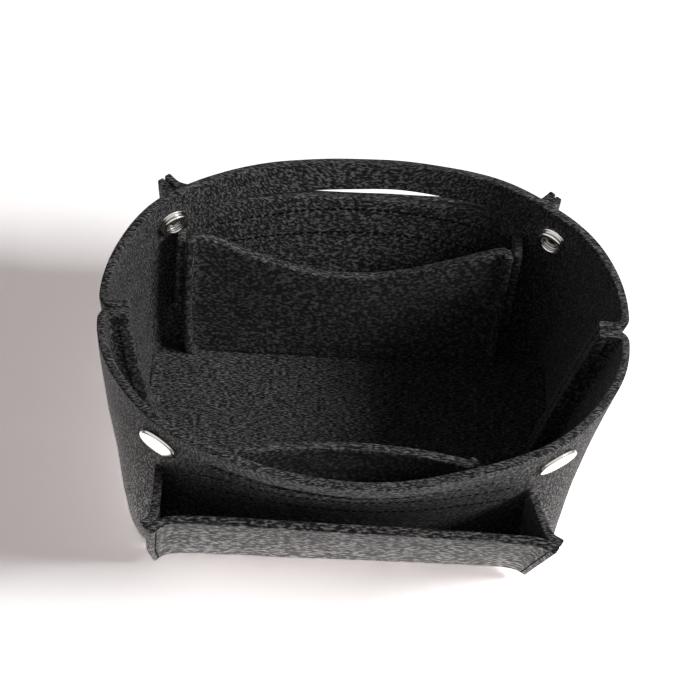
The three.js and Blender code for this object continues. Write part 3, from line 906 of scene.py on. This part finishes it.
def snap_frame(mirror_x, mirror_y):
    """Place of a snap on the outer face of the settled wall, its Z axis pointing out."""
    part = part_at(BACK_SNAP if mirror_y else FRONT_SNAP, WALL_HEIGHT - SNAP_BELOW_RIM)
    height = rim_above(part) - SNAP_BELOW_RIM
    spots = [
        wall_face(part, height),
        wall_face(part - SLOPE_PART, height), wall_face(part + SLOPE_PART, height),
        wall_face(part, height + SLOPE_HEIGHT), wall_face(part, height - SLOPE_HEIGHT)]
    centre, right, left, above, below = [settled(p) for p in turned(spots, mirror_x, mirror_y)]
    up = (above - below).normalized()
    out = (right - left).cross(up).normalized()
    if out.dot(centre) < 0:
        out.negate()
    up = (up - out * up.dot(out)).normalized()
    turn = Matrix((up.cross(out), up, out)).transposed().to_4x4()
    return Matrix.Translation(centre * MM) @ turn


def add_fitting(fitting, node, frame_place, material):
    fitting.data.transform(frame_place)
    fitting.data.materials.append(material)
    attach(fitting, "tub")
    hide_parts(node)


facing_in = Matrix.Translation((0, 0, -FELT * MM)) @ Matrix.Rotation(math.pi, 4, "X")
for depth, mirror_y in (("front", False), ("back", True)):
    for across, mirror_x in (("left", False), ("right", True)):
        snap = f"{depth}_{across}_snap"
        outside = snap_frame(mirror_x, mirror_y)
        inside = outside @ facing_in
        cap = pressed_fitting(f"{snap}_cap_plate", CAP_RINGS)
        tilted = outside @ Matrix.Rotation(CAP_TILT, 4, "X")
        add_fitting(cap, f"{snap}_cap", tilted, nickel_material)
        if depth == "front":
            stud = pressed_fitting(f"{snap}_stud_plate", STUD_RINGS)
            add_fitting(stud, f"{snap}_stud", inside, nickel_material)
        else:
            socket = pressed_fitting(f"{snap}_socket_plate", SOCKET_RINGS)
            add_fitting(socket, f"{snap}_socket", inside, nickel_material)
            spring = split_ring(f"{snap}_spring_wire")
            add_fitting(spring, f"{snap}_spring", inside, spring_material)

# Stitching
# Matt black polyester thread in plain lock stitch: a row along each ear of a panel, a row down each turned
# side seam, and two rows across each wall under its handle slit, seen on both faces. It is drawn 0.8 mm
# thick, about twice as thick as it is, so that it shows. Its near-black tone is darker than black thread:
# painted shade of the groove that a row presses into the felt.

STITCH_HALF = 1.5
STITCH_PITCH = 3.2
THREAD_HALF = 0.4
STITCH_DIVE = 0.3
STITCH_SIDES = 6
WALL_ROWS = (91.5, 78.0)
WALL_ROW_HALF = 62.0
WALL_ROW_STEPS = 30
# The rows across the walls are drawn wider still, so that they show on the dark felt; the widened near-black
# thread also stands in for painted shade in the groove that each row presses into the felt.
WALL_ROW_SPREAD = 1.6


def thread_with_painted_groove_shade():
    """Spun polyester thread, dyed black and matt, with tones darker than black thread: painted shade of the
    groove that a row presses into the felt, so that a row shows as a fine dark line.
    """
    material, tree = new_material("black_thread_with_painted_groove_shade")
    place = add_node(tree, "ShaderNodeTexCoord").outputs["Object"]
    # The plies of the thread are drawn 0.2 mm wide.
    plies = add_node(tree, "ShaderNodeTexNoise", {}, {"Vector": place, "Scale": 1 / 0.0002, "Detail": 1.0})
    # These near-black tones are painted shade of the groove that the stitches sink into, on top of the
    # thread's own black.
    tone = add_node(tree, "ShaderNodeMix", {"data_type": "RGBA"}, {
        "Factor": plies.outputs["Fac"], "A": linear("#030303"), "B": linear("#0b0b0c")})
    surface = add_node(tree, "ShaderNodeBsdfPrincipled", {}, {
        "Base Color": tone.outputs["Result"], "Roughness": 0.9, "Specular IOR Level": 0.1})
    add_node(tree, "ShaderNodeOutputMaterial", {}, {"Surface": surface.outputs["BSDF"]})
    return material


thread_and_groove_shade_material = thread_with_painted_groove_shade()


def one_stitch():
    """Points and faces of one stitch, along X, bulging out and diving into the felt at both ends."""
    bpy.ops.object.select_all(action="DESELECT")
    bpy.ops.mesh.primitive_uv_sphere_add(
        segments=STITCH_SIDES, ring_count=STITCH_SIDES, radius=1.0, rotation=(0, math.pi / 2, 0))
    bpy.ops.object.transform_apply(location=False, rotation=True, scale=False)
    bpy.ops.object.mode_set(mode="EDIT")
    bpy.ops.transform.resize(value=(STITCH_HALF, THREAD_HALF, THREAD_HALF), center_override=(0, 0, 0))
    bpy.ops.object.mode_set(mode="OBJECT")
    ball = bpy.context.object
    shape = []
    for vertex in ball.data.vertices:
        x, y, z = vertex.co
        shape.append(Vector((x, y, z - STITCH_DIVE * (x / STITCH_HALF) ** 2)))
    faces = [tuple(face.vertices) for face in ball.data.polygons]
    bpy.data.objects.remove(ball)
    return shape, faces


stitch_shape, stitch_faces = one_stitch()


def stitch_row(name, line, body, spread=1.0):
    """A row of stitches along a line on a felt face, given as places with the directions out of the felt;
    spread widens the thread along the face."""
    vertices = []
    faces = []
    rest = STITCH_PITCH / 2
    for (start, out), (end, _) in zip(line, line[1:]):
        run = end - start
        along = run.normalized()
        side = out.cross(along).normalized()
        turn = Matrix((along, side, along.cross(side))).transposed()
        while rest < run.length:
            first = len(vertices)
            middle = start + along * rest
            vertices += [(middle + turn @ Vector((v.x, v.y * spread, v.z))) * MM for v in stitch_shape]
            faces += [tuple(first + i for i in face) for face in stitch_faces]
            rest += STITCH_PITCH
        rest -= run.length
    mesh = bpy.data.meshes.new(name)
    mesh.from_pydata(vertices, [], faces)
    row = bpy.data.objects.new(name, mesh)
    bpy.context.collection.objects.link(row)
    mesh.materials.append(thread_and_groove_shade_material)
    mesh.shade_smooth()
    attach(row, body)


for name, line, body in stitch_lines:
    stitch_row(name, line, body)
for number, height in enumerate(WALL_ROWS, 1):
    for face, under in (("outer", 0.0), ("inner", FELT)):
        reach = part_at(WALL_ROW_HALF, height)
        left = [wall_face(reach * i / WALL_ROW_STEPS, height, under) for i in range(WALL_ROW_STEPS + 1)]
        spots = turned(left[:0:-1], True, False) + left
        for depth, mirror_y in (("front", False), ("back", True)):
            line = []
            for spot in turned(spots, False, mirror_y):
                out = Vector((0, spot.y, 0)).normalized()
                line.append((settled(bowed(spot)), out if face == "outer" else -out))
            stitch_row(f"{depth}_wall_{face}_stitches_{number}", line, "tub", WALL_ROW_SPREAD)

# Floor, light and camera
# A pale sweep of paper, one soft lamp high on the right, the light that the bright paper close around the
# insert throws up, and the photograph's view.

PAPER_SIZE = 6.0
PAPER_EXPOSURE = 4.2
PAPER_LIFT = 0.23
ROOM_LIGHT = 0.05


def paper_sweep():
    """Matt white paper; the camera sees it exposed to plain white, with the shadow kept."""
    material, tree = new_material("matt_white_paper")
    white = linear("#e9e9e9")
    seen = add_node(tree, "ShaderNodeLightPath").outputs["Is Camera Ray"]
    matt = add_node(tree, "ShaderNodeBsdfDiffuse", {}, {"Color": white})
    exposed = add_node(tree, "ShaderNodeBsdfDiffuse", {}, {
        "Color": [part * PAPER_EXPOSURE for part in white[:3]] + [1.0]})
    lift = add_node(tree, "ShaderNodeEmission", {}, {"Color": linear("#ffecea"), "Strength": PAPER_LIFT})
    lifted = add_node(tree, "ShaderNodeAddShader", {}, {
        0: exposed.outputs["BSDF"], 1: lift.outputs["Emission"]})
    shown = add_node(tree, "ShaderNodeMixShader", {}, {
        "Fac": seen, 1: matt.outputs["BSDF"], 2: lifted.outputs["Shader"]})
    add_node(tree, "ShaderNodeOutputMaterial", {}, {"Surface": shown.outputs["Shader"]})
    return material


bpy.ops.object.select_all(action="DESELECT")
bpy.ops.mesh.primitive_plane_add(size=PAPER_SIZE, location=(0, 0, 0))
sweep = bpy.context.object
sweep.name = "paper_floor"
sweep.data.materials.append(paper_sweep())

# The room gives the felt only a faint light; the camera and bright metal see it white.
world = bpy.data.worlds.new("pale_studio")
bpy.context.scene.world = world
world.use_nodes = True
world.node_tree.nodes.clear()
path = add_node(world.node_tree, "ShaderNodeLightPath")
shiny = add_node(world.node_tree, "ShaderNodeMath", {"operation": "MAXIMUM"}, {
    0: path.outputs["Is Camera Ray"], 1: path.outputs["Is Glossy Ray"]})
bright = add_node(world.node_tree, "ShaderNodeMath", {"operation": "MAXIMUM"}, {
    0: shiny.outputs[0], 1: path.outputs["Is Transmission Ray"]})
level = add_node(world.node_tree, "ShaderNodeMapRange", {}, {
    "Value": bright.outputs[0], "To Min": ROOM_LIGHT, "To Max": 1.0})
glow = add_node(world.node_tree, "ShaderNodeBackground", {}, {
    "Color": linear("#ffffff"), "Strength": level.outputs["Result"]})
add_node(world.node_tree, "ShaderNodeOutputWorld", {}, {"Surface": glow.outputs["Background"]})


def soft_lamp(name, place, aim, size, power, colour):
    lamp = bpy.data.lights.new(name, "AREA")
    lamp.shape = "RECTANGLE"
    lamp.size, lamp.size_y = size
    lamp.energy = power
    lamp.color = linear(colour)[:3]
    stand = bpy.data.objects.new(name, lamp)
    bpy.context.collection.objects.link(stand)
    stand.location = place
    stand.rotation_mode = "QUATERNION"
    stand.rotation_quaternion = (Vector(aim) - Vector(place)).to_track_quat("-Z", "Y")
    stand.visible_camera = False


soft_lamp(
    "key_lamp", place=(1.2, -0.18, 1.15), aim=(0, 0, 0.05), size=(0.45, 0.45), power=10.5, colour="#ffffff")
soft_lamp(
    "floor_bounce", place=(0.01, 0, 0.001), aim=(0.01, 0, 1), size=(0.46, 0.32), power=0.74, colour="#fffaf8")

PHOTO_SIDE = 700
AZIMUTH = math.radians(-2.1)
ELEVATION = math.radians(61.5)
ROLL = math.radians(4.4)
DISTANCE = 0.86
AIM_HEIGHT = 0.06
PIXELS_PER_METRE = 2370.0
AIM_PIXEL = (353.3, 383.5)
SENSOR = 36.0

lens = bpy.data.cameras.new("photo_camera")
camera = bpy.data.objects.new("photo_camera", lens)
bpy.context.collection.objects.link(camera)
level_way = Vector((math.sin(AZIMUTH), -math.cos(AZIMUTH), 0))
towards = level_way * math.cos(ELEVATION) + Vector((0, 0, math.sin(ELEVATION)))
camera.location = Vector((0, 0, AIM_HEIGHT)) + towards * DISTANCE
camera.rotation_mode = "QUATERNION"
upright_view = (-towards).to_track_quat("-Z", "Y")
camera.rotation_quaternion = upright_view @ Matrix.Rotation(ROLL, 3, "Z").to_quaternion()
lens.sensor_width = SENSOR
lens.lens = PIXELS_PER_METRE * DISTANCE / PHOTO_SIDE * SENSOR
lens.shift_x = (PHOTO_SIDE / 2 - AIM_PIXEL[0]) / PHOTO_SIDE
lens.shift_y = (AIM_PIXEL[1] - PHOTO_SIDE / 2) / PHOTO_SIDE
bpy.context.scene.camera = camera
bpy.context.scene.view_settings.view_transform = "Standard"
